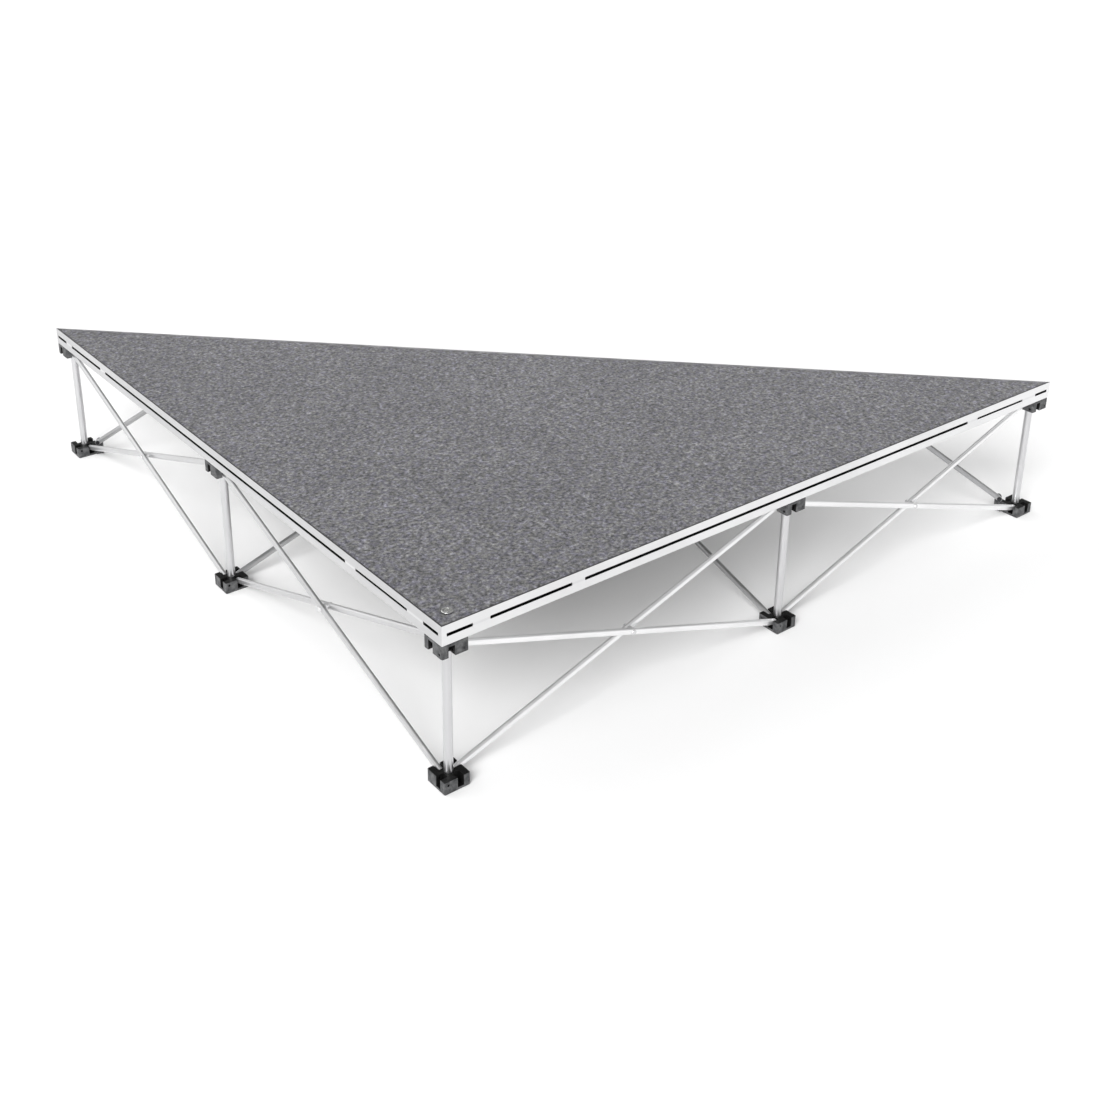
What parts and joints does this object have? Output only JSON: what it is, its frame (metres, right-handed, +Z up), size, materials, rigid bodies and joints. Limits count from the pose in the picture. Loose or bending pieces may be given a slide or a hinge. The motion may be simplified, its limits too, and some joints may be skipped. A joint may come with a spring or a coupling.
{
  "type": "stage riser platform",
  "caption": "Low triangular carpeted stage deck in an aluminium frame on a folding scissor-lattice riser with square plastic hubs.",
  "frame": {"origin": "centre of the sole of the front foot hub, below the right-angled corner of the deck", "axes": "+X along the right leg of the triangle, +Y along the left leg, +Z up"},
  "size_m": [1, 1, 0.2],
  "materials": {
    "carpet": "short needle-punched pile, charcoal grey",
    "frame_aluminium": "satin anodised, nearly white",
    "tube_aluminium": "drawn tube, satin anodised",
    "hub_plastic": "black glass-filled nylon, fine moulded grain",
    "panel_wood": "birch plywood, sealed",
    "pin_steel": "zinc-plated steel",
    "rubber": "moulded rubber"
  },
  "bodies": {
    "riser": {"top_hub_front": "hub_plastic", "post_front": "tube_aluminium"},
    "down_right_inner": {"arm_down_right_inner": "tube_aluminium", "pins_down_right_inner": "pin_steel"},
    "up_right_inner": {"arm_up_right_inner": "tube_aluminium", "pins_up_right_inner": "pin_steel"},
    "foot_front": {"foot_hub_front": "hub_plastic"},
    "top_right_middle": {"top_hub_right_middle": "hub_plastic", "post_right_middle": "tube_aluminium"},
    "foot_right_middle": {"foot_hub_right_middle": "hub_plastic"},
    "down_right_outer": {"arm_down_right_outer": "tube_aluminium", "pins_down_right_outer": "pin_steel"},
    "up_right_outer": {"arm_up_right_outer": "tube_aluminium", "pins_up_right_outer": "pin_steel"},
    "top_right_end": {"top_hub_right_end": "hub_plastic", "post_right_end": "tube_aluminium"},
    "foot_right_end": {"foot_hub_right_end": "hub_plastic", "prop_shoe_right_end": "hub_plastic"},
    "down_left_inner": {"arm_down_left_inner": "tube_aluminium", "pins_down_left_inner": "pin_steel"},
    "up_left_inner": {"arm_up_left_inner": "tube_aluminium", "pins_up_left_inner": "pin_steel"},
    "top_left_middle": {"top_hub_left_middle": "hub_plastic", "post_left_middle": "tube_aluminium"},
    "foot_left_middle": {"foot_hub_left_middle": "hub_plastic"},
    "down_left_outer": {"arm_down_left_outer": "tube_aluminium", "pins_down_left_outer": "pin_steel"},
    "up_left_outer": {"arm_up_left_outer": "tube_aluminium", "pins_up_left_outer": "pin_steel"},
    "top_left_end": {"top_hub_left_end": "hub_plastic", "post_left_end": "tube_aluminium"},
    "foot_left_end": {"foot_hub_left_end": "hub_plastic", "prop_shoe_left_end": "hub_plastic"},
    "down_cross_right": {"arm_down_cross_right": "tube_aluminium", "pins_down_cross_right": "pin_steel"},
    "up_cross_right": {"arm_up_cross_right": "tube_aluminium", "pins_up_cross_right": "pin_steel"},
    "top_rear_middle": {"top_hub_rear_middle": "hub_plastic", "post_rear_middle": "tube_aluminium"},
    "foot_rear_middle": {"foot_hub_rear_middle": "hub_plastic"},
    "down_cross_left": {"arm_down_cross_left": "tube_aluminium", "pins_down_cross_left": "pin_steel"},
    "up_cross_left": {"arm_up_cross_left": "tube_aluminium", "pins_up_cross_left": "pin_steel"},
    "prop_left_end": {"prop_left_end": "tube_aluminium", "prop_tip_left_end": "rubber", "prop_pin_left_end": "pin_steel"},
    "prop_right_end": {"prop_right_end": "tube_aluminium", "prop_tip_right_end": "rubber", "prop_pin_right_end": "pin_steel"},
    "deck": {"rail_right": "frame_aluminium", "rail_long": "frame_aluminium", "rail_left": "frame_aluminium", "groove_blocks": "frame_aluminium", "corner_cleats": "pin_steel", "deck_panel": "panel_wood", "panel_screws": "pin_steel", "carpet": "carpet", "lock_cup": "pin_steel"},
    "lock": {"lock_screw": "pin_steel"}
  },
  "joints": [
    {"name": "fold", "type": "hinge", "parent": "riser", "child": "down_right_inner", "pos_m": [0.011, 0, 0.1657], "axis": [0, 1, 0], "range_deg": [0, 66]},
    {"name": "hinge_up_right_inner", "type": "hinge", "parent": "down_right_inner", "child": "up_right_inner", "pos_m": [0.242, 0, 0.08835], "axis": [0, 1, 0], "range_deg": [-132, 0]},
    {"name": "hinge_foot_front", "type": "hinge", "parent": "up_right_inner", "child": "foot_front", "pos_m": [0.011, 0, 0.011], "axis": [0, 1, 0], "range_deg": [0, 66]},
    {"name": "hinge_top_right_middle", "type": "hinge", "parent": "up_right_inner", "child": "top_right_middle", "pos_m": [0.473, 0, 0.1657], "axis": [0, 1, 0], "range_deg": [0, 66]},
    {"name": "hinge_foot_right_middle", "type": "hinge", "parent": "down_right_inner", "child": "foot_right_middle", "pos_m": [0.473, 0, 0.011], "axis": [0, 1, 0], "range_deg": [-66, 0]},
    {"name": "hinge_down_right_outer", "type": "hinge", "parent": "top_right_middle", "child": "down_right_outer", "pos_m": [0.495, 0, 0.1657], "axis": [0, 1, 0], "range_deg": [0, 66]},
    {"name": "hinge_up_right_outer", "type": "hinge", "parent": "down_right_outer", "child": "up_right_outer", "pos_m": [0.726, 0, 0.08835], "axis": [0, 1, 0], "range_deg": [-132, 0]},
    {"name": "hinge_top_right_end", "type": "hinge", "parent": "up_right_outer", "child": "top_right_end", "pos_m": [0.957, 0, 0.1657], "axis": [0, 1, 0], "range_deg": [0, 66]},
    {"name": "hinge_foot_right_end", "type": "hinge", "parent": "down_right_outer", "child": "foot_right_end", "pos_m": [0.957, 0, 0.011], "axis": [0, 1, 0], "range_deg": [-66, 0]},
    {"name": "hinge_down_left_inner", "type": "hinge", "parent": "riser", "child": "down_left_inner", "pos_m": [0, 0.011, 0.1657], "axis": [-1, 0, 0], "range_deg": [0, 66]},
    {"name": "hinge_up_left_inner", "type": "hinge", "parent": "down_left_inner", "child": "up_left_inner", "pos_m": [0, 0.242, 0.08835], "axis": [-1, 0, 0], "range_deg": [-132, 0]},
    {"name": "hinge_top_left_middle", "type": "hinge", "parent": "up_left_inner", "child": "top_left_middle", "pos_m": [0, 0.473, 0.1657], "axis": [-1, 0, 0], "range_deg": [0, 66]},
    {"name": "hinge_foot_left_middle", "type": "hinge", "parent": "down_left_inner", "child": "foot_left_middle", "pos_m": [0, 0.473, 0.011], "axis": [-1, 0, 0], "range_deg": [-66, 0]},
    {"name": "hinge_down_left_outer", "type": "hinge", "parent": "top_left_middle", "child": "down_left_outer", "pos_m": [0, 0.495, 0.1657], "axis": [-1, 0, 0], "range_deg": [0, 66]},
    {"name": "hinge_up_left_outer", "type": "hinge", "parent": "down_left_outer", "child": "up_left_outer", "pos_m": [0, 0.726, 0.08835], "axis": [-1, 0, 0], "range_deg": [-132, 0]},
    {"name": "hinge_top_left_end", "type": "hinge", "parent": "up_left_outer", "child": "top_left_end", "pos_m": [0, 0.957, 0.1657], "axis": [-1, 0, 0], "range_deg": [0, 66]},
    {"name": "hinge_foot_left_end", "type": "hinge", "parent": "down_left_outer", "child": "foot_left_end", "pos_m": [0, 0.957, 0.011], "axis": [-1, 0, 0], "range_deg": [-66, 0]},
    {"name": "hinge_down_cross_right", "type": "hinge", "parent": "top_right_middle", "child": "down_cross_right", "pos_m": [0.484, 0.011, 0.1657], "axis": [-1, 0, 0], "range_deg": [0, 66]},
    {"name": "hinge_up_cross_right", "type": "hinge", "parent": "down_cross_right", "child": "up_cross_right", "pos_m": [0.484, 0.242, 0.08835], "axis": [-1, 0, 0], "range_deg": [-132, 0]},
    {"name": "hinge_top_rear_middle", "type": "hinge", "parent": "up_cross_right", "child": "top_rear_middle", "pos_m": [0.484, 0.473, 0.1657], "axis": [-1, 0, 0], "range_deg": [0, 66]},
    {"name": "hinge_foot_rear_middle", "type": "hinge", "parent": "down_cross_right", "child": "foot_rear_middle", "pos_m": [0.484, 0.473, 0.011], "axis": [-1, 0, 0], "range_deg": [-66, 0]},
    {"name": "hinge_down_cross_left", "type": "hinge", "parent": "top_left_middle", "child": "down_cross_left", "pos_m": [0.011, 0.484, 0.1657], "axis": [0, 1, 0], "range_deg": [0, 66]},
    {"name": "hinge_up_cross_left", "type": "hinge", "parent": "down_cross_left", "child": "up_cross_left", "pos_m": [0.242, 0.484, 0.08835], "axis": [0, 1, 0], "range_deg": [-132, 0]},
    {"name": "prop_swing_left_end", "type": "hinge", "parent": "foot_left_end", "child": "prop_left_end", "pos_m": [0.01381, 0.94783, 0.021], "axis": [-0.7071, -0.7071, 0], "range_deg": [0, 52.8]},
    {"name": "prop_swing_right_end", "type": "hinge", "parent": "foot_right_end", "child": "prop_right_end", "pos_m": [0.94783, 0.01381, 0.021], "axis": [0.7071, 0.7071, 0], "range_deg": [0, 52.8]},
    {"name": "deck_lift", "type": "slide", "parent": "riser", "child": "deck", "axis": [0, 0, 1], "range_m": [0, 0.3]},
    {"name": "lock_turn", "type": "hinge", "parent": "deck", "child": "lock", "pos_m": [0.0055, 0.0055, 0.199], "axis": [0, 0, 1], "continuous": true}
  ],
  "couplings": [
    {"joint": "hinge_up_right_inner", "follows": "fold", "ratio": -2},
    {"joint": "hinge_foot_front", "follows": "fold", "ratio": 1},
    {"joint": "hinge_top_right_middle", "follows": "fold", "ratio": 1},
    {"joint": "hinge_foot_right_middle", "follows": "fold", "ratio": -1},
    {"joint": "hinge_down_right_outer", "follows": "fold", "ratio": 1},
    {"joint": "hinge_up_right_outer", "follows": "fold", "ratio": -2},
    {"joint": "hinge_top_right_end", "follows": "fold", "ratio": 1},
    {"joint": "hinge_foot_right_end", "follows": "fold", "ratio": -1},
    {"joint": "hinge_down_left_inner", "follows": "fold", "ratio": 1},
    {"joint": "hinge_up_left_inner", "follows": "fold", "ratio": -2},
    {"joint": "hinge_top_left_middle", "follows": "fold", "ratio": 1},
    {"joint": "hinge_foot_left_middle", "follows": "fold", "ratio": -1},
    {"joint": "hinge_down_left_outer", "follows": "fold", "ratio": 1},
    {"joint": "hinge_up_left_outer", "follows": "fold", "ratio": -2},
    {"joint": "hinge_top_left_end", "follows": "fold", "ratio": 1},
    {"joint": "hinge_foot_left_end", "follows": "fold", "ratio": -1},
    {"joint": "hinge_down_cross_right", "follows": "fold", "ratio": 1},
    {"joint": "hinge_up_cross_right", "follows": "fold", "ratio": -2},
    {"joint": "hinge_top_rear_middle", "follows": "fold", "ratio": 1},
    {"joint": "hinge_foot_rear_middle", "follows": "fold", "ratio": -1},
    {"joint": "hinge_down_cross_left", "follows": "fold", "ratio": 1},
    {"joint": "hinge_up_cross_left", "follows": "fold", "ratio": -2},
    {"joint": "prop_swing_left_end", "follows": "fold", "ratio": 0.8},
    {"joint": "prop_swing_right_end", "follows": "fold", "ratio": 0.8}
  ]
}
